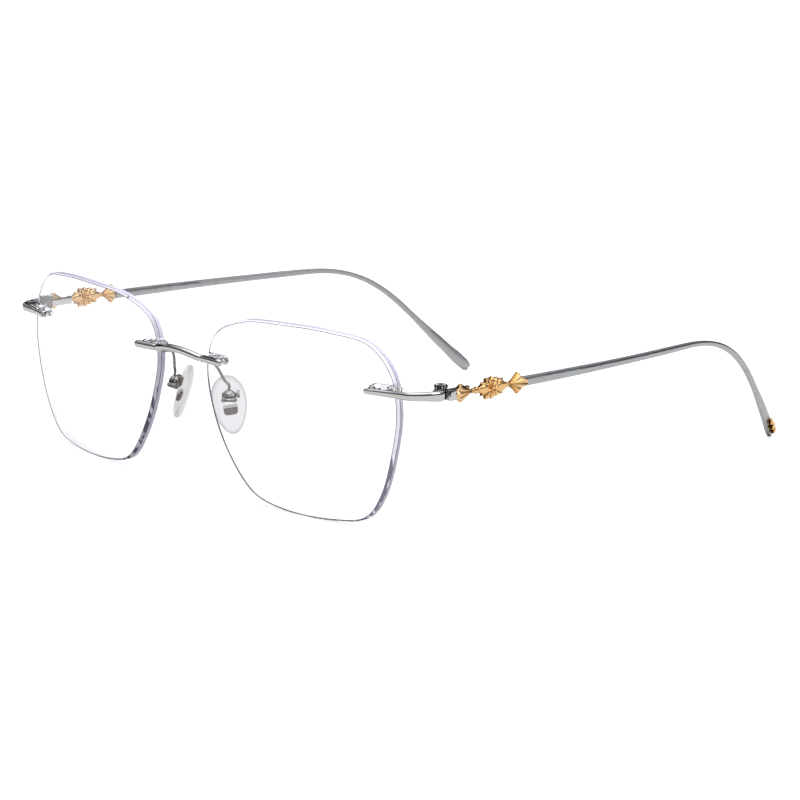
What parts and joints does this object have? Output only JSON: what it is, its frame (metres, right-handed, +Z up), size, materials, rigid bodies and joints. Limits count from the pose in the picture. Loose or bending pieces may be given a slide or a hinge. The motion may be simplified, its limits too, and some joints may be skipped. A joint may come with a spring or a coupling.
{
  "type": "rimless eyeglasses",
  "caption": "Rimless glasses: drilled lenses on a wire bridge and endpieces, folding hinged temples with cast gold ornaments, and rocking nose pads on wire arms.",
  "frame": {"origin": "centre of the footprint of the open glasses, on the surface that the lens bottoms and temple tips stand on", "axes": "+X to the wearer's left, +Y back along the temples, +Z up"},
  "size_m": [0.141, 0.144, 0.0414],
  "materials": {
    "lens": "clear polished lens",
    "clear_bush": "clear moulded polycarbonate",
    "polished_silver": "polished silver plate",
    "satin_silver": "satin silver plate",
    "gold": "polished rose gold plate",
    "pad_silicone": "clear silicone"
  },
  "bodies": {
    "front": {"bridge": "polished_silver", "lens_left": "lens", "lens_right": "lens", "bridge_bush_left": "clear_bush", "bridge_bush_right": "clear_bush", "endpiece_bush_left": "clear_bush", "endpiece_bush_right": "clear_bush", "endpiece_left": "polished_silver", "endpiece_right": "polished_silver", "front_hinge_left": "polished_silver", "front_hinge_right": "polished_silver", "hinge_screw_left": "polished_silver", "hinge_screw_right": "polished_silver", "pad_arm_left": "polished_silver", "pad_arm_right": "polished_silver", "pad_box_left": "polished_silver", "pad_box_right": "polished_silver", "pad_screw_left": "polished_silver", "pad_screw_right": "polished_silver"},
    "temple_left": {"rear_hinge_left": "polished_silver", "temple_ornament_left": "gold", "temple_arm_left": "satin_silver", "tip_ornament_left": "gold"},
    "temple_right": {"rear_hinge_right": "polished_silver", "temple_ornament_right": "gold", "temple_arm_right": "satin_silver", "tip_ornament_right": "gold"},
    "pad_left": {"nose_pad_left": "pad_silicone", "pad_core_left": "satin_silver"},
    "pad_right": {"nose_pad_right": "pad_silicone", "pad_core_right": "satin_silver"}
  },
  "joints": [
    {"name": "temple_fold_left", "type": "hinge", "parent": "front", "child": "temple_left", "pos_m": [0.067, -0.05534, 0.0302], "axis": [0, 0, 1], "range_deg": [0, 86]},
    {"name": "temple_fold_right", "type": "hinge", "parent": "front", "child": "temple_right", "pos_m": [-0.067, -0.05534, 0.0302], "axis": [0, 0, -1], "range_deg": [0, 82]},
    {"name": "pad_rock_left", "type": "hinge", "parent": "front", "child": "pad_left", "pos_m": [0.0097, -0.06289, 0.02175], "axis": [0.5736, 0.8192, 0], "range_deg": [-12, 12]},
    {"name": "pad_rock_right", "type": "hinge", "parent": "front", "child": "pad_right", "pos_m": [-0.0097, -0.06289, 0.02175], "axis": [-0.5736, 0.8192, 0], "range_deg": [-12, 12]}
  ]
}
